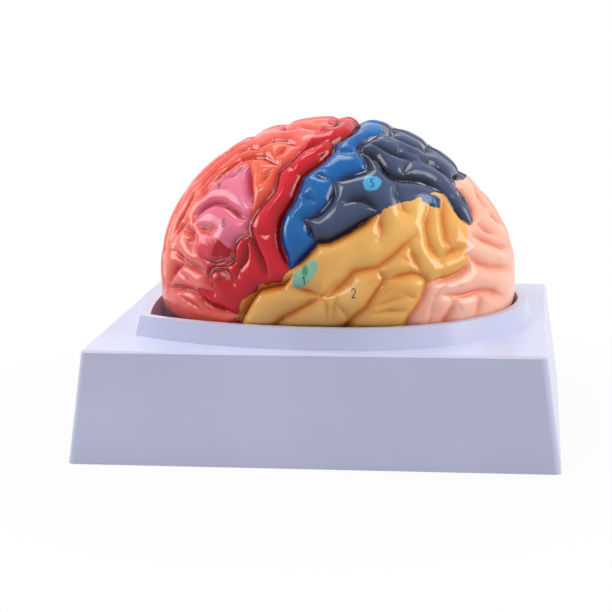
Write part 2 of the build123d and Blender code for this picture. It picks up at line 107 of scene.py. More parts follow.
# Courses of the folds on one half, as seen straight from its side.
# Each point is (degrees towards the back, degrees up) from the side's middle.
FOLDS = [
    # central and lateral folds
    ("deep", (15, 89), (13.5, 80), (12, 74), (7.5, 69), (3.3, 65), (3.2, 60.5), (-0.8, 54.8),
     (-4.8, 51.5), (-8.8, 47.8), (-9.8, 43), (-11.5, 37.3), (-15.4, 31), (-16.5, 25.5),
     (-15.5, 19.5), (-12.8, 14), (-11.3, 10.3)),
    ("deep", (-33, -13), (-31, -8), (-28, -3), (-24.5, 1.8), (-20, 3.3), (-14, 4.6), (-10.8, 8)),
    ("deep", (-11.3, 10.3), (-8, 13), (-5.2, 15.8), (-2.7, 18.6), (-0.8, 20.9), (4.2, 21.2),
     (10.8, 24.6), (18.5, 29.3), (22.8, 32.2)),
    # either side of the two bands beside the central fold
    ("fold", (-20.2, 7.8), (-23.6, 15), (-25.8, 19.3), (-28.5, 25.5), (-27.8, 29.5),
     (-24.5, 34.5), (-20, 40.5), (-19.3, 45), (-19.3, 49), (-14.5, 54.7), (-10.3, 61),
     (-4.5, 64), (0, 66)),
    ("fold", (-0.8, 20.9), (-3.2, 23.5), (-4.2, 26.5), (-6.5, 29.8)),
    ("fold", (-6.5, 29.8), (-2.3, 30.8), (1.2, 33.2), (3.8, 36.5), (4.9, 40), (4.9, 44.6)),
    ("fold", (4.9, 44.6), (8, 46.4), (12, 47.8), (16.5, 49.2), (19.3, 50.6), (18.3, 55),
     (15.6, 59.5), (14.3, 62.3), (16.5, 65.2), (20.5, 68.5), (25, 72)),
    ("crease", (-6.5, 48.2), (-2.5, 47.6), (1, 46.2), (4.9, 44.6)),
    ("crease", (3.2, 60.2), (6, 59), (9, 58.3), (12, 58)),
    ("crease", (-6, 54.5), (-1.5, 58), (2, 60.5)),
    # parietal lobe
    ("deep", (15.6, 60.5), (21, 58.2), (23.7, 54.8), (26, 50.8), (29.3, 47.4), (33, 46.9),
     (39, 47.2), (44.5, 45.9), (48.5, 43.6), (51.5, 40.8)),
    ("crease", (33, 47.3), (35, 51.3), (38.3, 56)),
    ("crease", (30, 43.5), (30.5, 39.5), (32, 36)),
    ("fold", (9.5, 36), (12, 37.7), (15.3, 38.2), (18.5, 37.3), (21.3, 35.2), (23.2, 32.6)),
    ("fold", (20.5, 65.2), (26, 62.4), (30, 60.1), (34, 58.6), (39.5, 56.3)),
    ("crease", (33, 59.3), (34.6, 64.5)),
    ("crease", (19.5, 69.8), (24, 69.3), (27.5, 67.5)),
    ("crease", (35.5, 62.8), (38, 61.8), (41, 60)),
    ("crease", (30, 71.5), (36, 69.3), (43, 66.7), (48, 63)),
    ("fold", (44, 57), (50, 56), (55, 52.5), (58.5, 48)),
    ("crease", (57.5, 46), (58.7, 42.3), (60.6, 38), (61.5, 34)),
    ("fold", (51.5, 40.8), (54.5, 36), (56.2, 32), (58, 27.6), (60.5, 25.2)),
    ("fold", (57, 47.5), (61.5, 43.5), (64.3, 38), (64.9, 31.5), (62.8, 26)),
    # temporal lobe
    ("soft", (37.3, 22.7), (34.5, 20.3), (31.5, 17.8), (28.5, 15), (25, 12.7), (22.8, 11),
     (18, 10.4), (13.3, 9.4), (10.5, 6), (7.3, 3.3), (4, 0.8), (1.5, -0.2)),
    ("soft", (1.5, -0.2), (-2, 1.8), (-6, 2.6), (-10.5, 4)),
    ("soft", (22.8, 11), (23.6, 8.6), (25, 6), (22.5, 3), (20.3, 0), (17.8, -4), (12.8, -8.3),
     (9, -14), (2, -20)),
    ("soft", (25, 6), (31, 7.6), (35, 8.2), (38.4, 7), (40.4, 4.2), (38.2, -1.5),
     (36.2, -4.8), (33.5, -8.5), (31, -15)),
    ("soft", (34.8, 20.3), (35.5, 16.5), (36.8, 12.3), (38.4, 7)),
    ("soft", (1.5, -0.2), (-2.8, -1.8), (-9, -5.5), (-15, -9), (-20, -14)),
    ("faint", (17.8, -4), (23, -2.8), (28, -1.2), (32, -1)),
    ("soft", (44, 34), (42.6, 29), (42, 24), (42, 20), (42.8, 16.5), (45.5, 12.2)),
    ("soft", (51, 38), (49.8, 32.5), (49.2, 26), (48.9, 20.5), (50.6, 15.3)),
    ("soft", (45.5, 12.2), (48, 14.2), (52, 15.7), (56, 15.6)),
    ("soft", (32, 36), (32.8, 33.5), (34.6, 32)),
    ("soft", (24.5, 33), (23.7, 29), (24.5, 25), (23.5, 22)),
    ("faint", (30.5, 15.5), (33, 13.3), (35.8, 11.8)),
    # occipital lobe
    ("soft", (40.6, 4.1), (44.7, 5), (49, 5.4), (52.5, 6.4), (56, 8.2), (58.5, 11.5)),
    ("soft", (63.5, 26.5), (66.3, 23.7), (69.5, 21.3), (74, 19.5)),
    ("soft", (60.5, 20.3), (65.5, 18), (70, 16), (77, 13.5), (84, 13)),
    ("soft", (56, 13.5), (58.5, 11.5), (60.8, 9.3), (66, 7), (73, 5.5), (80, 4)),
    ("soft", (45.7, -1), (50, -2), (54.5, -2.4), (60, -1.6), (66, -3), (73, -7)),
    ("soft", (50, -2), (49.4, -6), (47.3, -9.5), (44, -16)),
    ("soft", (60.5, -2.2), (60.6, -6), (59, -12)),
    ("faint", (41.8, -1), (41.2, -5), (40, -11)),
    ("fold", (74, 45), (73, 37), (76, 29), (81, 25)),
    # lower frontal lobe
    ("fold", (-53.8, 26.5), (-53.3, 29.8), (-51.3, 32), (-49, 33.6), (-45.5, 34.6),
     (-41.5, 34.5), (-38.5, 33.2), (-35.8, 31.6), (-32.5, 29.8), (-29, 28.3)),
    ("crease", (-52.5, 24.2), (-47.5, 23.7), (-42.5, 23.5)),
    ("fold", (-59, 22.8), (-54.5, 21.3), (-53, 19), (-55.5, 17.8)),
    ("fold", (-64, 13), (-60, 11), (-57, 9.2), (-51.8, 8.3), (-48, 7.2), (-45, 5.6)),
    ("fold", (-66, 0), (-64.5, 3.5), (-62, 6.5), (-57, 9.2)),
    ("fold", (-67, -3), (-61, -1.9), (-55, -1.4), (-50, -2), (-47.5, -5), (-43.5, -6.9),
     (-38, -7.6), (-33, -8.5)),
    ("fold", (-42, -0.6), (-44, 1.5), (-45.2, 5), (-44.5, 7.6), (-41.8, 8.9), (-38, 9.2),
     (-35.3, 6.3), (-33.8, 4)),
    ("fold", (-38, 9.2), (-34.3, 12.2), (-34.9, 16.5), (-33.8, 20.3), (-31, 22), (-28.3, 22.4)),
    ("fold", (-28.6, 21.6), (-29, 17), (-29.4, 13.5), (-31.8, 10.3), (-32, 7)),
    ("fold", (-47, 12.5), (-43.5, 10.7), (-38.8, 12.7), (-34.6, 13.5)),
    ("crease", (-57.2, 18.2), (-54.3, 16.2), (-51.6, 13.6)),
    ("crease", (-64, 13), (-65.2, 18), (-62.5, 23.5), (-57.5, 25.8)),
    ("faint", (-59, 4.3), (-55.5, 2.6), (-50.5, 1.2)),
    ("crease", (-77, 8), (-73.5, 3), (-71, -3)),
    # upper frontal lobe
    ("fold", (-34, 53), (-31.8, 46), (-30, 40), (-27.4, 34)),
    ("crease", (-43.5, 44.8), (-39.5, 47.3), (-35.5, 51.3), (-32.5, 54)),
    ("fold", (-52.5, 38), (-51.5, 42), (-49, 46), (-45, 51), (-39.5, 55.5), (-33.5, 57),
     (-28, 57), (-23.5, 54.5), (-19.5, 52)),
    ("fold", (-58, 41), (-55, 47), (-50, 53.5), (-44, 60), (-38, 63.5), (-33.5, 62.5),
     (-31, 65), (-27, 67.3), (-20, 66.3), (-13, 62.5)),
    ("fold", (-60, 41.5), (-61.5, 34.5), (-63.5, 29), (-66, 24.5), (-67.5, 18)),
    ("crease", (-20, 75), (-14, 76), (-8, 73.5), (-4, 71.5)),
    ("crease", (-48.5, 43.5), (-46, 47), (-43.5, 49.5), (-40, 51.2)),
    ("crease", (-64, 46), (-60, 51), (-57, 56.5), (-52, 61), (-47, 65.5), (-43, 68)),
    ("crease", (-36.5, 64), (-33.3, 61.5), (-30.5, 59.8)),
    ("soft", (-18.5, 62.5), (-20, 58.5), (-22.5, 55)),
    ("crease", (-25.2, 43.2), (-23.6, 47.5), (-20.5, 50.5)),
    ("crease", (-7, 79.6), (-1, 79), (5, 79.2)),
    # round the poles and along the crown
    ("fold", (-74, 38), (-72, 30), (-73, 21), (-74, 12)),
    ("fold", (-84, 20), (-80, 10), (-79, 0), (-81, -10)),
    ("fold", (-46, 75), (-41, 70), (-42, 66)),
    ("crease", (-57, 64), (-53, 59)),
    ("fold", (-28, 83), (-26, 77), (-20, 75)),
    ("fold", (2, 87), (3, 81), (1, 76)),
    ("fold", (32, 82), (33, 77), (30, 71.5)),
    ("fold", (52, 70), (51, 65), (48, 63)),
    ("fold", (69, 55), (65, 51), (58.5, 48)),
    # underside of the cerebrum
    ("soft", (-80, -22), (-68, -19), (-55, -18), (-42, -19)),
    ("soft", (-74, -38), (-58, -36), (-44, -38)),
    ("soft", (-24, -24), (-8, -27), (10, -27), (26, -26), (38, -24)),
    ("soft", (-26, -42), (-8, -44), (10, -43), (24, -40)),
    ("deep", (-33, -13), (-37, -24), (-38, -38), (-34, -52), (-30, -64)),
    # between the cerebrum and the cerebellum, and across the cerebellum
    ("deep", (28, -76), (25, -62), (26, -50), (32, -38), (42, -29), (54, -27), (66, -32),
     (78, -40)),
    ("crease", (33, -62), (36, -50), (44, -41), (56, -39), (68, -44)),
    ("crease", (42, -66), (45, -56), (52, -52), (60, -56)),
    # fine creases, which the cast halves leave out
    ("fine", (1.6, 0.6), (3.2, -3), (2.7, -9.3)),
    ("fine", (7.9, 1.6), (6, -3), (5.2, -9.3)),
    ("fine", (28.4, 4.6), (24.4, 1.2), (21.6, -1.9)),
    ("fine", (31.1, 0.3), (34.7, -1.2), (37.6, -0.9)),
    ("fine", (20.3, -6.4), (25.7, -5.4), (32.8, -6.1)),
    ("fine", (5.5, -1), (9.3, -4.9), (12.1, -10.4)),
    ("fine", (46.7, 2.9), (43, -0.8), (40.5, -5.7)),
    ("fine", (51.5, 1.3), (50.6, -3.3), (51.6, -7.9)),
    ("fine", (-67.9, 16.7), (-60.6, 23.6), (-62.2, 29.9)),
    ("fine", (-61, 6), (-57.5, 4), (-53.5, 3.6)),
    ("fine", (-60, -4.5), (-54, -6.5), (-47, -8.5)),
    ("fine", (-11.2, 49.4), (-13.7, 50.9), (-16, 51.4)),
    ("fine", (-17.5, 24), (-20.5, 23.2), (-23, 23.5)),
    ("fine", (-4, 61), (-6.5, 58.5), (-9, 57.5)),
    ("fine", (-2, 35.5), (-5, 37.5), (-8, 38)),
]

# Half the width of the painted edges, in degrees
CRISP_EDGE = 0.22
SOFT_EDGES = {"apricot": 3.0, "peach": 0.6, "teal": 0.6, "green": 0.7, "cyan": 0.4}

# Painted fields, in the order of painting: each has its outline in the same degrees
FIELDS = {
    "apricot": ((-50, 50), (-44, 57), (-36, 62), (-27, 67), (-19, 65), (-15, 57), (-20, 50),
                (-20, 41), (-26, 33), (-30, 40), (-32, 49), (-38, 52), (-46, 47)),
    "peach": ((50, 15), (53, 30), (58, 36), (57, 44), (62, 52), (70, 60), (100, 50),
              (100, -60), (60, -60), (40, -40), (28, -24), (28, -10), (34, 2), (42, 9)),
    "ochre": ((-18, 9), (-12, 15), (-6, 20), (-2, 25), (8, 29), (18, 34), (30, 40), (44, 43),
              (52, 43), (58, 38), (60, 31), (60.5, 25.2), (57.8, 24.5), (56.7, 19.5),
              (56.3, 15), (56, 9), (52.5, 6.4), (49, 5.4), (44.7, 5), (40.6, 4.1),
              (38.2, -1.5), (36.2, -4.8), (33.5, -8.5), (31, -15), (34, -24), (26, -50),
              (25, -62), (28, -86), (-30, -84), (-30, -64), (-34, -52), (-38, -38), (-37, -24),
              (-33, -13), (-34, -6), (-32, 0), (-27, 6)),
    "rose": ((28, -86), (25, -62), (26, -50), (32, -38), (42, -29), (54, -27), (66, -32),
             (78, -40), (100, -60), (60, -110), (20, -110)),
    "slate": ((-0.8, 20.9), (-6, 23), (-9, 29), (-5, 36), (0, 43), (5, 51), (10, 58), (10, 65),
              (15, 70), (20, 78), (21, 95), (60, 80), (77, 54),
              (67, 48.5), (60.3, 47), (61.5, 43.5), (64.3, 38), (64.9, 31.5), (62.8, 26),
              (60.5, 25.2), (58, 27.6), (56.2, 32), (54.5, 36), (52, 40.2), (47.3, 40.3),
              (45, 39.2), (40, 37.7), (34.5, 36.2), (31.8, 36), (27.8, 34.5), (25.8, 33.7),
              (24, 32.3), (22.8, 32.2), (18.5, 29.3), (10.8, 24.6), (4.2, 21.2)),
    "red": ((-11.3, 10.3), (-10, 16), (-12, 24), (-11, 31), (-7, 40), (-3, 49), (3, 55),
            (8, 63), (12, 69), (17, 77), (19, 95), (-3, 95), (-2, 80), (-5, 71), (-9, 63),
            (-14.5, 54.7), (-19.3, 49), (-19.3, 45), (-20, 40.5), (-24.5, 34.5),
            (-27.8, 29.5), (-28.5, 25.5), (-28.3, 22.4), (-31, 22), (-33.8, 20.3),
            (-34.9, 16.5), (-35.5, 14.5), (-36.2, 13.6), (-39.8, 12.2), (-42.2, 10.9),
            (-45.3, 9.2), (-45.8, 6.5), (-45, 4.2), (-43.5, 2.1), (-42.1, 0), (-46.2, 0.9),
            (-49.6, 0.3), (-50.6, -1.2), (-48.4, -4.3), (-43.5, -6.9),
            (-38, -7.6), (-33, -8.5), (-30.5, -3), (-27, 0), (-25, 1.8), (-24, 3.8),
            (-22.3, 4.2), (-17, 5), (-14.3, 6), (-12.3, 8.8)),
    "blue": ((-11.3, 10.3), (-8, 13), (-5.2, 15.8), (-2.7, 18.6), (-0.8, 20.9), (-3.2, 23.5),
             (-4.2, 26.5), (-6.5, 29.8), (-2.3, 30.8), (1.2, 33.2), (3.8, 36.5), (4.9, 40),
             (4.9, 44.6), (8, 46.4), (12, 47.8), (16.5, 49.2), (19.3, 50.6), (18.3, 55),
             (15.6, 59.5), (14.3, 62.3), (16.5, 65.2), (20.5, 68.5), (25, 72), (27, 75),
             (26, 80), (27, 95), (15, 95), (13.5, 80), (12, 74), (7.5, 69), (3.3, 65),
             (3.2, 60.5), (-0.8, 54.8), (-4.8, 51.5), (-8.8, 47.8), (-9.8, 43),
             (-11.5, 37.3), (-15.4, 31), (-16.5, 25.5), (-15.5, 19.5), (-12.8, 14)),
    "coral": ((-50.8, 18), (-51.2, 20.8), (-48.8, 22.5), (-45.2, 22.1), (-40.6, 20.4),
              (-41.8, 16.7), (-43.4, 13.8), (-39.9, 13.7), (-36.2, 13.8), (-39.8, 12.3),
              (-42.2, 10.9), (-45.3, 9.3), (-47.5, 11), (-49.6, 13.8)),
    "crimson": ((-40.6, 20.4), (-35.3, 17.6), (-35.5, 15.7), (-36.3, 13.8), (-39.9, 13.6),
                (-43.4, 13.8), (-41.9, 16.5)),
    "pink": ((-55.2, 28.5), (-54.8, 32.1), (-51.6, 35.1), (-51.8, 37.9), (-52, 39.8),
             (-51.8, 42.6), (-49.2, 45.3), (-44.9, 48.5), (-40.8, 50.1), (-35.3, 51.6),
             (-33, 50.5), (-31.4, 45.4), (-29, 39.9), (-27.5, 35), (-28.6, 30),
             (-28.3, 25.5), (-28.5, 22.4), (-31, 22), (-33.8, 20.3), (-34.9, 17),
             (-35.4, 16.8), (-40.6, 20.4), (-44.9, 22.2), (-42.8, 23.7), (-43.1, 25.1),
             (-47.5, 24.7), (-53.3, 24.8)),
    "teal": ((-1.2, 14.9), (0, 13.2), (-0.4, 10.5), (-2.6, 7.2), (-4.6, 4.6), (-7.4, 3.4),
             (-9.9, 4), (-10.7, 6.2), (-9, 9), (-6.4, 11.8), (-3.6, 14.2)),
    "green": ((-5.2, 13), (-3.9, 12), (-3.4, 10.2), (-4.2, 8.4), (-5.4, 8.2), (-6.4, 9.6),
              (-6.4, 11.6)),
    "cyan": ((16, 43.6), (16.9, 41.6), (19, 40.5), (21.6, 40.8), (23.4, 42.4), (23.6, 44.6),
             (22, 46.4), (19.6, 46.8), (17.2, 45.8)),
    "navy": ((40.5, 37.7), (41.8, 39.2), (44, 39.6), (46.5, 38.8), (48.9, 37), (49.4, 34.8),
             (48.4, 33.2), (45.5, 33.6), (42.5, 35.2), (40.6, 36.4)),
}

# Numerals: each one's place on the skin in degrees, and its strokes in a unit square
NUMERAL_HEIGHT = 3.2        # degrees
NUMERAL_WIDTH = 0.62        # share of the height
PEN = 0.17                  # half the width of a stroke, degrees
PEN_STEP = 0.25             # spacing of the points along a stroke, degrees
INK_LIFT = 0.06             # height of the ink over the skin, millimetres
NUMERAL_PLACES = {
    "numeral_one": ("1", -5.3, 6.6), "numeral_two": ("2", 13.2, 1.8),
    "numeral_three": ("3", 45.2, 36.6), "numeral_four": ("4", -39.4, 5.4),
    "numeral_five": ("5", 20.2, 43.6), "numeral_six": ("6", -38.6, 26.6),
    "numeral_nine": ("9", -44.8, 41.2),
}
STROKES = {
    "1": [((0.2, 0.7), (0.5, 1), (0.5, 0))],
    "2": [((0.1, 0.75), (0.3, 1), (0.7, 1), (0.85, 0.75), (0.7, 0.5), (0.1, 0), (0.9, 0))],
    "3": [((0.1, 0.9), (0.5, 1), (0.8, 0.8), (0.45, 0.55), (0.85, 0.3), (0.5, 0), (0.1, 0.1))],
    "4": [((0.6, 1), (0.1, 0.35), (0.9, 0.35)), ((0.65, 0.6), (0.65, 0))],
    "5": [((0.85, 1), (0.25, 1), (0.2, 0.55), (0.6, 0.6), (0.85, 0.3), (0.6, 0), (0.15, 0.08))],
    "6": [((0.75, 0.95), (0.4, 0.8), (0.15, 0.35), (0.4, 0), (0.8, 0.15), (0.75, 0.45),
           (0.4, 0.5), (0.2, 0.3))],
    "9": [((0.8, 0.7), (0.5, 0.45), (0.2, 0.65), (0.35, 0.95), (0.7, 0.95), (0.8, 0.7),
           (0.75, 0.3), (0.5, 0))],
}


def cerebrum_reach(aim):
    """Distance from the brain's centre to the cerebrum's outer egg, along unit directions."""
    x, y, z = aim[:, 0], aim[:, 1], aim[:, 2]
    reach = np.where(x < 0, FRONT_REACH, REAR_REACH)
    rise = np.where(z > 0, CROWN_RISE, UNDERSIDE_DROP)
    power = np.where(z > 0, CROWN_POWER, UNDERSIDE_POWER)
    side_view = ((np.abs(x) / reach) ** power + (np.abs(z) / rise) ** power) ** (1 / power)
    width = HALF_WIDTH * (1 + REAR_FLARE * x)
    size = (side_view ** SIDE_POWER + (np.abs(y) / width) ** SIDE_POWER) ** (1 / SIDE_POWER)
    turn = (np.degrees(np.arctan2(z, x)) - NAPE_ANGLE) / NAPE_SPREAD
    return (1 - NAPE_FLAT * np.exp(-turn ** 2) * (x > 0)) / size


def lobe_reach(aim, middle, radii):
    """Distance to the far side of an ellipsoid that hangs from the cerebrum, 0 where missed."""
    scaled = aim / np.array(radii)
    centre = np.array(middle) * (1, -1, 1) / np.array(radii)
    a = (scaled ** 2).sum(-1)
    b = (scaled * centre).sum(-1)
    inside = b ** 2 - a * ((centre ** 2).sum() - 1)
    return np.where(inside > 0, (b + np.sqrt(np.maximum(inside, 0))) / a, 0)


def smooth_points(spots):
    """Points of the unfolded skin of the left half, for spots given in degrees."""
    tilt = np.radians(np.hypot(spots[:, 0], spots[:, 1]))
    turn = np.arctan2(spots[:, 1], spots[:, 0])
    flat = np.sin(tilt)
    aim = np.stack([flat * np.cos(turn), -np.cos(tilt), flat * np.sin(turn)], -1)
    reach = np.maximum.reduce([cerebrum_reach(aim),
                               lobe_reach(aim, CEREBELLUM_AT, CEREBELLUM_RADII),
                               lobe_reach(aim, STEM_AT, STEM_RADII)])
    return aim * reach[:, None]


def along(course, step):
    """Points evenly along a course, with both its ends."""
    course = np.array(course, float)
    run = np.concatenate([[0], np.cumsum(np.hypot(*np.diff(course, axis=0).T))])
    places = np.linspace(0, run[-1], max(2, round(run[-1] / step) + 1))
    return np.stack([np.interp(places, run, course[:, k]) for k in (0, 1)], -1)


def groove(share):
    """Round-shouldered section of a fold: 1 at its bottom, 0 at its full width."""
    return 1 - np.sqrt(1 - (1 - np.clip(share, 0, 1)) ** 2)


def fold_layers(points):
    """What the folds' layers hold at each point.

    fold_depth is the depth in millimetres, and fold_line the nearness to a fold's bottom.
    fold_side is the distance from that bottom, in millimetres, and negative on one side.
    """
    total = (FISSURE_DEPTH * groove(np.abs(points[:, 1]) / FISSURE_WIDTH)) ** JOIN
    nearness, sides = np.zeros(len(points)), np.full(len(points), LINE_REACH)
    for kind, *course in FOLDS:
        width, full = KINDS[kind]
        line = smooth_points(along(course, SEGMENT))
        starts, ends = line[:-1], line[1:]
        runs = np.linalg.norm(ends - starts, axis=1)
        before = np.concatenate([[0], np.cumsum(runs)])
        near = np.flatnonzero((points > line.min(0) - SHOULDER_REACH).all(1)
                              & (points < line.max(0) + SHOULDER_REACH).all(1))
        here = points[near]
        depth, bottom = np.zeros(len(near)), np.zeros(len(near))
        closest, side = np.full(len(near), FAR), np.zeros(len(near))
        for start, end, run, done in zip(starts, ends, runs, before):
            share = np.clip(((here - start) @ (end - start)) / run ** 2, 0, 1)
            gap = np.linalg.norm(here - start - share[:, None] * (end - start), axis=1)
            hand = ((here - start) * np.cross(here, end - start)).sum(1)
            side = np.where(gap < closest, np.copysign(gap, hand), side)
            closest = np.minimum(closest, gap)
            from_end = np.minimum(done + share * run, before[-1] - done - share * run)
            fade = FREE_END + (1 - FREE_END) * np.clip(from_end / FOLD_END, 0, 1)
            bottom = np.maximum(bottom, LINES[kind] * fade * (1 - gap / LINE_REACH))
            slope = SHOULDER * np.clip(1 - gap / SHOULDER_REACH, 0, 1) ** 2
            gap = np.hypot(gap, SOFT_BOTTOM) - SOFT_BOTTOM
            section = (1 - SHOULDER) * groove(gap / width) + slope
            depth = np.maximum(depth, full * fade * section)
        total[near] += depth ** JOIN
        first = bottom > nearness[near]
        nearness[near[first]] = bottom[first]
        sides[near[first]] = side[first]
    return {"fold_depth": total ** (1 / JOIN), "fold_line": nearness, "fold_side": sides}


def folded_points(spots, relief=1.0):
    """Points of the folded skin and what the folds' layers hold there."""
    points = smooth_points(spots)
    layers = fold_layers(points)
    reach = np.linalg.norm(points, axis=1)
    return points * (1 - relief * layers["fold_depth"] / reach)[:, None], layers


def inside_distance(spots, outline):
    """Distance in degrees from spots to a closed outline, positive inside it."""
    corners = np.array(outline, float)
    gap = np.full(len(spots), FAR)
    inside = np.zeros(len(spots), bool)
    for start, end in zip(corners, np.roll(corners, -1, axis=0)):
        side = end - start
        share = np.clip(((spots - start) @ side) / (side @ side), 0, 1)
        gap = np.minimum(gap, np.hypot(*(spots - start - share[:, None] * side).T))
        crosses = (start[1] > spots[:, 1]) != (end[1] > spots[:, 1])
        with np.errstate(divide="ignore", invalid="ignore"):
            place = start[0] + (spots[:, 1] - start[1]) * side[0] / side[1]
        inside ^= crosses & (spots[:, 0] < place)
    return np.where(inside, gap, -gap)


def disc_spots(count):
    """A square net of spots bent into the disc that a half covers, its faces and its rim."""
    line = np.linspace(-1, 1, count + 1)
    a, b = [grid.ravel() for grid in np.meshgrid(line, line, indexing="ij")]
    wide = np.abs(a) > np.abs(b)
    with np.errstate(divide="ignore", invalid="ignore"):
        turn = np.where(wide, math.pi / 4 * b / a, math.pi / 2 - math.pi / 4 * a / b)
    turn[(a == 0) & (b == 0)] = 0
    reach = MIDDLE_PLANE * np.where(wide, a, b)
    spots = np.stack([reach * np.cos(turn), reach * np.sin(turn)], -1)
    index = np.arange((count + 1) ** 2).reshape(count + 1, count + 1)
    faces = np.stack([index[:-1, :-1], index[1:, :-1], index[1:, 1:], index[:-1, 1:]], -1)
    rim = np.concatenate([index[:-1, 0], index[-1, :-1], index[:0:-1, -1], index[0, :0:-1]])
    return spots, faces.reshape(-1, 4), rim


def brain_place():
    """Centre of the brain in millimetres, and the scale that keeps the skin within the cast half.

    The front pin gives the centre; a fine skin bulges a little between the cast facets' corners.
    """
    pin = sum(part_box("front_locating_pin"), Vector()) / 2 / MM
    low, high = [np.array(corner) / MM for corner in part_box("left_half")]
    centre = np.array([pin.x - FRONT_PIN_AT[0], high[1], pin.z - FRONT_PIN_AT[1]])
    skin = folded_points(disc_spots(PLACING_NET)[0])[0]
    room = np.concatenate([(low - centre) / skin.min(0), ((high - centre) / skin.max(0))[::2]])
    return centre, min(1.0, room.min())


def linear(colour):
    """A screen colour as the shader wants it."""
    return [c / 12.92 if c <= 0.04045 else ((c + 0.055) / 1.055) ** 2.4 for c in colour]


# Patches: a noise's scale per metre and its detail, and the range of it that is spread out
PATCHES = {
    "tray_tone": (14.0, 3.0, 0.35, 0.65),
    "warm": (26.0, 1.0, 0.46, 0.62),
    "thick": (34.0, 2.0, 0.48, 0.68),
    "pale": (45.0, 3.0, 0.30, 0.70),
    "lip_highlight": (75.0, 1.0, 0.50, 0.58),
    "gloss": (120.0, 2.0, 0.30, 0.70),
    "edge": (260.0, 2.0, 0.30, 0.70),
    "smudge": (360.0, 2.0, 0.50, 0.60),
}

# Grains: a noise's scale per metre and its detail, and a bump's strength and millimetres
GRAINS = {
    "tray_waves": (38.0, 2.0, 0.12, 0.8),
    "paint_ripples": (75.0, 1.0, 0.50, 2.0),
    "brush_marks": (420.0, 3.0, 0.10, 0.4),
    "pin_grain": (700.0, 2.0, 0.10, 0.1),
    "tray_grain": (900.0, 2.0, 0.05, 0.1),
    "ink_grain": (1500.0, 2.0, 0.10, 0.05),
}


class Nodes:
    """A node tree with short calls for adding and joining nodes."""

    def __init__(self, tree, material=None):
        self.tree = tree
        self.material = material
        self.tree.nodes.clear()

    @classmethod
    def of_material(cls, name):
        material = bpy.data.materials.get(name) or bpy.data.materials.new(name)
        material.use_nodes = True
        return cls(material.node_tree, material)

    def add(self, kind, values=None, **settings):
        """A new node, whose inputs take plain values or other nodes' sockets."""
        node = self.tree.nodes.new(kind)
        for key, value in settings.items():
            setattr(node, key, value)
        for key, value in (values or {}).items():
            if isinstance(value, bpy.types.NodeSocket):
                self.tree.links.new(value, node.inputs[key])
            else:
                node.inputs[key].default_value = value
        return node

    def position(self):
        return self.add("ShaderNodeTexCoord").outputs["Object"]

    def noise(self, scale, detail=2.0):
        values = {"Vector": self.position(), "Scale": scale, "Detail": detail}
        return self.add("ShaderNodeTexNoise", values).outputs["Fac"]

    def attribute(self, name):
        return self.add("ShaderNodeAttribute", attribute_name=name).outputs["Fac"]

    def maths(self, operation, *values):
        return self.add("ShaderNodeMath", dict(enumerate(values)), operation=operation).outputs[0]

    def spread(self, value, low, high, to_low=0.0, to_high=1.0):
        """Takes the range from low to high smoothly to another one, and stays in that."""
        values = {"Value": value, "From Min": low, "From Max": high,
                  "To Min": to_low, "To Max": to_high}
        return self.add("ShaderNodeMapRange", values, interpolation_type="SMOOTHSTEP").outputs[0]

    def mix(self, share, a, b, blend="MIX"):
        node = self.add("ShaderNodeMix", data_type="RGBA", blend_type=blend)
        for key, value in (("Factor", share), ("A", a), ("B", b)):
            socket = next(s for s in node.inputs if s.name == key and s.enabled)
            if isinstance(value, bpy.types.NodeSocket):
                self.tree.links.new(value, socket)
            else:
                socket.default_value = value
        return next(s for s in node.outputs if s.enabled)

    def seen(self):
        """1 for the rays that see the background: the camera's, mirrored and passed ones."""
        rays = self.add("ShaderNodeLightPath").outputs
        direct = self.maths("MAXIMUM", rays["Is Camera Ray"], rays["Is Glossy Ray"])
        return self.maths("MAXIMUM", direct, rays["Is Transmission Ray"])

    def patches(self, name, most=1.0, least=0.0):
        """One of the PATCHES, between its least and its most."""
        scale, detail, low, high = PATCHES[name]
        return self.spread(self.noise(scale, detail), low, high, least, most)

    def grain(self, name, normal=None):
        """One of the GRAINS, on top of another where there is one."""
        scale, detail, strength, height = GRAINS[name]
        values = {"Height": self.noise(scale, detail), "Strength": strength,
                  "Distance": height * MM}
        if normal:
            values["Normal"] = normal
        return self.add("ShaderNodeBump", values).outputs["Normal"]

    def show(self, shader, output="ShaderNodeOutputMaterial"):
        """Joins a shader to the tree's output."""
        self.tree.links.new(shader.outputs[0], self.add(output).inputs["Surface"])
        return self.material

    def shade(self, values):
        return self.show(self.add("ShaderNodeBsdfPrincipled", values))

    def turn_white(self, share, shader, emitter):
        """Goes over from a shader to plain white, at a strength of 1."""
        white = self.add(emitter, {"Color": WHITE, "Strength": 1.0})
        values = {0: share, 1: shader.outputs[0], 2: white.outputs[0]}
        return self.add("ShaderNodeMixShader", values)


def colour_property(name, red, green, blue):
    """A colour setting, from its screen values of 0 to 255."""
    return FloatVectorProperty(name=name, subtype="COLOR_GAMMA", size=3, min=0, max=1,
                               default=(red / 255, green / 255, blue / 255),
                               description=f"Paint colour: {name.lower()}")


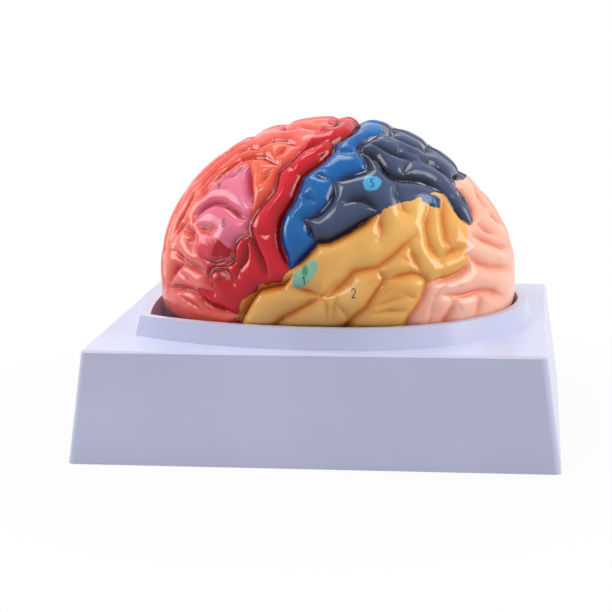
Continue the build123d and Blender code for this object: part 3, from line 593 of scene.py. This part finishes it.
class CortexSettings(bpy.types.PropertyGroup):
    """Form and paint of the two halves."""
    relief: FloatProperty(name="Relief", default=1.0, min=0.2, max=1.3, subtype="FACTOR",
                          description="Depth of the folds against the moulded part")
    net: IntProperty(name="Net", default=300, min=60, max=310,
                     description="Number of faces across each half")
    gloss: FloatProperty(name="Roughness", default=0.16, min=0.05, max=0.9, subtype="FACTOR",
                         description="Roughness of the varnished paint")
    salmon: colour_property("Frontal lobe", 228, 102, 98)
    apricot: colour_property("Upper frontal lobe", 226, 92, 66)
    peach: colour_property("Occipital lobe", 242, 178, 156)
    ochre: colour_property("Temporal lobe", 229, 170, 92)
    rose: colour_property("Cerebellum", 224, 146, 146)
    slate: colour_property("Parietal lobe", 60, 72, 104)
    red: colour_property("Band ahead of the central fold", 200, 16, 38)
    blue: colour_property("Band behind the central fold", 4, 94, 162)
    coral: colour_property("Field under the lower pink one", 214, 66, 84)
    crimson: colour_property("Dark field ahead of the red one", 176, 14, 40)
    pink: colour_property("Pink fields", 224, 112, 140)
    teal: colour_property("Teal field", 132, 184, 158)
    green: colour_property("Green field", 70, 140, 104)
    cyan: colour_property("Cyan field", 70, 156, 204)
    navy: colour_property("Navy field", 8, 84, 142)


class TraySettings(bpy.types.PropertyGroup):
    """Finish of the tray."""
    plastic: colour_property("Tray", 198, 201, 230)
    gloss: FloatProperty(name="Roughness", default=0.22, min=0, max=1, subtype="FACTOR",
                         description="Roughness of the moulded tray")


class StudioSettings(bpy.types.PropertyGroup):
    """Power of the lamps and strength of the room light."""
    top: FloatProperty(name="Top lamp", default=4.8, min=0, unit="POWER",
                       description="Power of the soft box overhead")
    right: FloatProperty(name="Right lamp", default=11.0, min=0, unit="POWER",
                         description="Power of the soft box on the right")
    left: FloatProperty(name="Left lamp", default=6.5, min=0, unit="POWER",
                        description="Power of the soft box on the left")
    front: FloatProperty(name="Front lamp", default=3.5, min=0, unit="POWER",
                         description="Power of the small lamp above the camera")
    room: FloatProperty(name="Room light", default=0.26, min=0, max=2,
                        description="Strength of the even light all round")


# The paint: a pair holds a measure at the start and at the end of a change
# near-black of the smudges on the navy field, and of the painted shade line in the folds
SMUDGE_AND_SHADE = (0.012, 0.006, 0.009, 1.0)
WARM_MOST = 0.55            # share of apricot in the ground's warm patches
EDGE_WOBBLE = 0.35          # how far a field's edge strays, degrees
SMUDGE_STARTS = (0.0, 0.5)  # distance inside the navy field, degrees
SMUDGE_MOST = 0.8           # share of dirt in the smudges on it
PALE_MOST = 0.22            # share of white in the pale patches
THICK_MOST = 0.35           # share of the deeper colour in the thick patches
FOLD_SHADE_DEPTHS = (0.1, 3.3)         # depth of a fold over which its colour deepens and darkens as painted shade, millimetres
LINE_BREAKS = 150.0         # scale of the noise that breaks up the painted shade line, per metre
LINE_STRAY = 0.15           # how far that shifts the nearness, up or down
LINE_SHOWS = (0.40, 0.66)   # nearness to a fold's bottom over which the painted shade line appears
LINE_EDGE = (0.06, 0.34)    # distance over which the painted shade line fades, millimetres
LINE_SHARE = (0.95, 0.10)   # share of the near-black painted shade colour in it
LIP_STARTS = (0.28, 0.40)   # distance over which the painted highlight on a fold's lip appears, millimetres
LIP_ENDS = (0.50, 0.75)     # distance over which it fades, millimetres
LIP_SHARE = (0.6, 0.0)      # share of white in it
GLOSS_ADDS = (-0.04, 0.06)  # what the patches add to the paint's roughness
PAINT_SPECULAR = 0.32

# The tray, the pins and the ink
TRAY_SHADE = 0.97           # the tray's darker patches, as a share of its screen colour
TRAY_SPECULAR = 0.5
PIN_MOTTLE = 300.0          # scale of the noise between the two colours, per metre
PIN_COLOURS = ((0.70, 0.66, 0.58, 1), (0.78, 0.75, 0.68, 1))
PIN_ROUGHNESS = 0.45
INK_MOTTLE = 900.0
INK_COLOURS = ((0.006, 0.008, 0.012, 1), (0.02, 0.022, 0.03, 1))
INK_ROUGHNESS = 0.3


def fields_over_ground(n, settings):
    """The ground coat and the fields over it, with slightly uneven edges."""
    tone = {name: linear(getattr(settings, name)) + [1.0] for name in ("salmon", *FIELDS)}
    colour = n.mix(n.patches("warm", WARM_MOST), tone["salmon"], tone["apricot"])
    wobble = n.patches("edge", EDGE_WOBBLE, -EDGE_WOBBLE)
    for name in FIELDS:
        edge = SOFT_EDGES.get(name, CRISP_EDGE)
        distance = n.maths("ADD", n.attribute("field_" + name), wobble)
        colour = n.mix(n.spread(distance, -edge, edge), colour, tone[name])
    smeared = n.spread(n.attribute("field_navy"), *SMUDGE_STARTS)
    smudge = n.maths("MULTIPLY", smeared, n.patches("smudge", SMUDGE_MOST))
    return n.mix(smudge, colour, SMUDGE_AND_SHADE)


def uneven_coat_and_fold_shade(n, colour):
    """Paler where the paint is thin and deeper where it is thick, in patches; deeper and darker
    in the folds as painted shade.
    """
    pale = n.maths("MULTIPLY", n.patches("pale"), PALE_MOST)
    colour = n.mix(pale, colour, WHITE, "SOFT_LIGHT")
    # painted shade: a darker, deeper colour the further down a fold goes
    painted_fold_shade = n.spread(n.attribute("fold_depth"), *FOLD_SHADE_DEPTHS)
    # the colour multiplied by itself, used for the thick patches and for the painted fold shade
    deep = n.mix(1.0, colour, colour, "MULTIPLY")
    return n.mix(n.maths("MAXIMUM", painted_fold_shade, n.patches("thick", THICK_MOST)), colour, deep)


def painted_crease_shade_and_highlight(n, colour):
    """A thin painted shade line along the folds' bottoms, with a painted highlight on the lip
    beside it in places.
    """
    uneven = n.maths("MULTIPLY_ADD", n.noise(LINE_BREAKS), 2 * LINE_STRAY, -LINE_STRAY)
    near = n.spread(n.maths("ADD", n.attribute("fold_line"), uneven), *LINE_SHOWS)
    side = n.attribute("fold_side")
    # painted highlight: white on the lip beside a fold's bottom, in patches
    lip_highlight = n.maths("MULTIPLY", n.spread(side, *LIP_STARTS), n.spread(side, *LIP_ENDS, *LIP_SHARE))
    lip_highlight = n.maths("MULTIPLY", lip_highlight, n.patches("lip_highlight"))
    colour = n.mix(n.maths("MULTIPLY", near, lip_highlight), colour, WHITE)
    thin = n.spread(n.maths("ABSOLUTE", side), *LINE_EDGE, *LINE_SHARE)
    # painted shade: a thin near-black line along each fold's bottom
    return n.mix(n.maths("MULTIPLY", near, thin), colour, SMUDGE_AND_SHADE)


def painted_cortex(settings):
    """Glossy hand paint over the folded castings, with painted shade in the folds and painted
    highlights beside them.
    """
    n = Nodes.of_material("painted_cortex")
    colour = painted_crease_shade_and_highlight(n, uneven_coat_and_fold_shade(n, fields_over_ground(n, settings)))
    glossy, dull = (settings.gloss + added for added in GLOSS_ADDS)
    return n.shade({"Base Color": colour, "Roughness": n.patches("gloss", dull, glossy),
                    "Normal": n.grain("paint_ripples", n.grain("brush_marks")),
                    "Specular IOR Level": PAINT_SPECULAR})


def tray_plastic(settings):
    """White moulded plastic with a faint lavender cast, faint waves and a fine grain."""
    n = Nodes.of_material("tray_plastic")
    tone = linear(settings.plastic) + [1.0]
    shade = linear([c * TRAY_SHADE for c in settings.plastic]) + [1.0]
    return n.shade({"Base Color": n.mix(n.patches("tray_tone"), tone, shade),
                    "Roughness": settings.gloss,
                    "Normal": n.grain("tray_grain", n.grain("tray_waves")),
                    "Specular IOR Level": TRAY_SPECULAR})


def pin_plastic():
    """Ivory moulded plastic of the locating pins."""
    n = Nodes.of_material("pin_plastic")
    return n.shade({"Base Color": n.mix(n.noise(PIN_MOTTLE), *PIN_COLOURS),
                    "Roughness": PIN_ROUGHNESS, "Normal": n.grain("pin_grain")})


def ink():
    """Black ink of the numerals."""
    n = Nodes.of_material("numeral_ink")
    return n.shade({"Base Color": n.mix(n.noise(INK_MOTTLE), *INK_COLOURS),
                    "Roughness": INK_ROUGHNESS, "Normal": n.grain("ink_grain")})


def new_piece(name, points, faces, material):
    """A smooth mesh object in metres that rides on the model's one body."""
    mesh = bpy.data.meshes.new(name)
    mesh.from_pydata((points * MM).tolist(), [], faces)
    mesh.materials.append(material)
    mesh.polygons.foreach_set("use_smooth", [True] * len(mesh.polygons))
    piece = bpy.data.objects.new(name, mesh)
    bpy.context.scene.collection.objects.link(piece)
    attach(piece, BODY)
    return piece


def clothe(node, material):
    """Gives a CAD node its material."""
    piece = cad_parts[node]
    piece.data.materials.clear()
    piece.data.materials.append(material)


class BRAIN_OT_halves(bpy.types.Operator):
    """Builds the two painted halves in full detail in place of the plain ones"""
    bl_idname = "brain_model.halves"
    bl_label = "Painted Halves"

    def execute(self, context):
        settings = context.scene.brain_cortex
        count = settings.net
        spots, faces, rim = disc_spots(count)
        points, layers = folded_points(spots, settings.relief)
        points[rim, 1] = 0
        points = np.vstack([points, [0, 0, 0]])
        cap = [(len(spots), b, a) for a, b in zip(rim, np.roll(rim, -1))]
        layers |= {"field_" + name: inside_distance(spots, line) for name, line in FIELDS.items()}
        material = painted_cortex(settings)
        centre, scale = brain_place()
        points = points * scale + centre
        self.half("left", points, faces.tolist() + cap, layers, material)
        turned = faces[:, ::-1].tolist() + [face[::-1] for face in cap]
        self.half("right", points * (1, -1, 1), turned, layers, material)
        return {"FINISHED"}

    def half(self, side, points, faces, layers, material):
        """One half: a smooth skin of four-sided faces and a flat cap of three-sided ones."""
        piece = new_piece(f"painted_{side}_half", points, faces, material)
        for name, values in layers.items():
            layer = piece.data.attributes.new(name, "FLOAT", "POINT")
            layer.data.foreach_set("value", np.append(values, UNPAINTED).astype(np.float32))
        skin = [len(face) == 4 for face in faces]
        piece.data.polygons.foreach_set("use_smooth", skin)
        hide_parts(f"{side}_half")


class BRAIN_OT_numerals(bpy.types.Operator):
    """Writes the plain numerals on the fields of both halves"""
    bl_idname = "brain_model.numerals"
    bl_label = "Numerals"

    def execute(self, context):
        settings = context.scene.brain_cortex
        material = ink()
        centre, scale = brain_place()
        for name, (digit, back, up) in NUMERAL_PLACES.items():
            for side, sense in (("left", 1), ("right", -1)):
                points, faces = self.strokes(digit, back, up, settings.relief, sense)
                points = (points * scale + centre) * (1, sense, 1)
                new_piece(f"{name}_{side}", points, faces, material)
        return {"FINISHED"}

    def strokes(self, digit, back, up, relief, sense):
        """Flat pen strokes that follow the skin, as points and faces."""
        points, faces = [], []
        for stroke in STROKES[digit]:
            line = (np.array(stroke, float) - 0.5) * (NUMERAL_WIDTH * sense, 1.0)
            line = along(line * NUMERAL_HEIGHT + (back, up), PEN_STEP)
            heading = np.gradient(line, axis=0)
            heading /= np.hypot(*heading.T)[:, None]
            across = np.stack([-heading[:, 1], heading[:, 0]], -1) * PEN
            ribbon = np.concatenate([line + across, line - across])
            skin = folded_points(ribbon, relief)[0]
            outward = skin / np.linalg.norm(skin, axis=1)[:, None]
            first = sum(len(p) for p in points)
            points.append(skin + INK_LIFT * outward)
            size = len(line)
            faces += [(first + size + k, first + size + k + 1, first + k + 1, first + k)
                      for k in range(size - 1)]
        return np.concatenate(points), faces


class BRAIN_OT_tray(bpy.types.Operator):
    """Finishes the moulded tray and the locating pins"""
    bl_idname = "brain_model.tray"
    bl_label = "Tray and Pins"

    def execute(self, context):
        clothe("base_tray", tray_plastic(context.scene.brain_tray))
        pins = pin_plastic()
        for node in ("front_locating_pin", "rear_locating_pin"):
            clothe(node, pins)
        return {"FINISHED"}


# Soft boxes: place and size in metres; the setting of the same name is the power
LAMPS = {
    "top": ((-0.12, 0.26, 1.12), (0.5, 0.5)),
    "right": ((1.1, -0.25, 0.6), (0.7, 0.6)),
    "left": ((-1.1, 0.0, 0.5), (0.6, 0.5)),
    "front": ((-0.45, -0.5, 0.9), (0.35, 0.35)),
}
LAMP_COLOUR = (1.0, 0.985, 0.91)
LAMP_AIM = (0, 0, 0.07)

# Floor, a square round the origin
FLOOR_REACH = 6.0           # to its edges, metres
FLOOR_COLOUR = (0.50, 0.50, 0.52, 1)
FLOOR_FADE = (0.12, 0.24)   # distance from the origin over which it turns white, metres
FLOOR_WHITE = (0.94, 1.0)   # share of white at the start and at the end of that

# Room light, from low down to overhead
ROOM_COLOUR = (0.84, 0.88, 1.0, 1)
ROOM_HEIGHTS = (-0.2, 0.9)  # 0 is level and 1 is straight up
ROOM_SHARES = (0.45, 1.6)   # its strength there, as shares of the setting

# Camera: place in metres and turns in degrees, found from the tray's corners
CAMERA_PLACE = (0.0949, -0.7314, 0.2168)
CAMERA_YAW = 7.17
CAMERA_PITCH = 9.31
CAMERA_ROLL = -0.99
CAMERA_NEAR = 0.05          # where its view begins, metres
SENSOR = 36.0               # width of its sensor, millimetres
FRAME = 612                 # width of the frame in pixels
LENS = 1603.6               # distance from the lens to the frame, in the same pixels
SHIFT = (-30, -90)          # of the frame against the lens, in the same pixels


class BRAIN_OT_studio(bpy.types.Operator):
    """Sets up the pale floor, the soft lamps, the room light and the camera"""
    bl_idname = "brain_model.studio"
    bl_label = "Studio"

    def execute(self, context):
        settings = context.scene.brain_studio
        self.floor()
        self.room(context.scene, settings.room)
        for name, (place, size) in LAMPS.items():
            self.lamp(f"{name}_lamp", place, size, getattr(settings, name))
        self.camera(context.scene)
        context.scene.view_settings.view_transform = "Standard"
        return {"FINISHED"}

    def floor(self):
        """A matt floor that shows the object's shadow near it and is white further off."""
        n = Nodes.of_material("pale_floor")
        matt = n.add("ShaderNodeBsdfDiffuse", {"Color": FLOOR_COLOUR})
        away = n.add("ShaderNodeVectorMath", {0: n.position()}, operation="LENGTH")
        pale = n.spread(away.outputs["Value"], *FLOOR_FADE, *FLOOR_WHITE)
        share = n.maths("MULTIPLY", n.seen(), pale)
        n.show(n.turn_white(share, matt, "ShaderNodeEmission"))
        corners = [(x * FLOOR_REACH, y * FLOOR_REACH, 0)
                   for x, y in ((-1, -1), (1, -1), (1, 1), (-1, 1))]
        mesh = bpy.data.meshes.new("floor")
        mesh.from_pydata(corners, [], [(0, 1, 2, 3)])
        mesh.materials.append(n.material)
        piece = bpy.data.objects.new("floor", mesh)
        bpy.context.scene.collection.objects.link(piece)

    def room(self, scene, strength):
        """A room that is lightest overhead and darkest low down, white behind the object."""
        world = bpy.data.worlds.new("studio_room")
        scene.world = world
        world.use_nodes = True
        n = Nodes(world.node_tree)
        around = n.add("ShaderNodeTexCoord").outputs["Generated"]
        height = n.add("ShaderNodeSeparateXYZ", {"Vector": around}).outputs["Z"]
        level = n.spread(height, *ROOM_HEIGHTS, *(share * strength for share in ROOM_SHARES))
        room = n.add("ShaderNodeBackground", {"Color": ROOM_COLOUR, "Strength": level})
        n.show(n.turn_white(n.seen(), room, "ShaderNodeBackground"), "ShaderNodeOutputWorld")

    def lamp(self, name, place, size, power):
        """A soft box that faces the object."""
        light = bpy.data.lights.new(name, "AREA")
        light.shape = "RECTANGLE"
        light.size, light.size_y = size
        light.energy = power
        light.color = LAMP_COLOUR
        lamp = bpy.data.objects.new(name, light)
        lamp.location = place
        aim = Vector(LAMP_AIM) - Vector(place)
        lamp.rotation_euler = aim.to_track_quat("-Z", "Y").to_euler()
        bpy.context.scene.collection.objects.link(lamp)

    def camera(self, scene):
        """The photograph's view, from the camera's place and its turns."""
        yaw, pitch, roll = (math.radians(a) for a in (CAMERA_YAW, CAMERA_PITCH, CAMERA_ROLL))
        ahead = Vector((-math.sin(yaw) * math.cos(pitch), math.cos(yaw) * math.cos(pitch),
                        -math.sin(pitch)))
        level = Vector((math.cos(yaw), math.sin(yaw), 0))
        above = level.cross(ahead)
        right = level * math.cos(roll) + above * math.sin(roll)
        up = right.cross(ahead)
        data = bpy.data.cameras.new("camera")
        data.sensor_width = SENSOR
        data.lens = LENS / FRAME * SENSOR
        data.shift_x, data.shift_y = (pixels / FRAME for pixels in SHIFT)
        data.clip_start = CAMERA_NEAR
        camera = bpy.data.objects.new("camera", data)
        turn = Matrix((right, up, -ahead)).transposed().to_4x4()
        camera.matrix_world = Matrix.Translation(CAMERA_PLACE) @ turn
        bpy.context.scene.collection.objects.link(camera)
        scene.camera = camera


class BRAIN_PT_parts(bpy.types.Panel):
    """Lists the model's pieces and their settings"""
    bl_idname = "BRAIN_PT_parts"
    bl_label = "Brain Model"
    bl_space_type = "VIEW_3D"
    bl_region_type = "UI"
    bl_category = "Brain Model"

    def draw(self, context):
        layout = self.layout
        for group in GROUPS:
            settings = getattr(context.scene, group)
            box = layout.box()
            for name in settings.__annotations__:
                box.prop(settings, name)
        for operator in OPERATORS:
            layout.operator(operator.bl_idname)


OPERATORS = (BRAIN_OT_studio, BRAIN_OT_tray, BRAIN_OT_halves, BRAIN_OT_numerals)
GROUPS = {"brain_cortex": CortexSettings, "brain_tray": TraySettings,
          "brain_studio": StudioSettings}


def register():
    for cls in (*GROUPS.values(), *OPERATORS, BRAIN_PT_parts):
        bpy.utils.register_class(cls)
    for name, group in GROUPS.items():
        setattr(bpy.types.Scene, name, PointerProperty(type=group))


def unregister():
    for name in GROUPS:
        delattr(bpy.types.Scene, name)
    for cls in (BRAIN_PT_parts, *reversed(OPERATORS), *GROUPS.values()):
        bpy.utils.unregister_class(cls)


def main():
    register()
    bpy.ops.brain_model.studio()
    bpy.ops.brain_model.tray()
    bpy.ops.brain_model.halves()
    bpy.ops.brain_model.numerals()


if __name__ == "__main__":
    main()
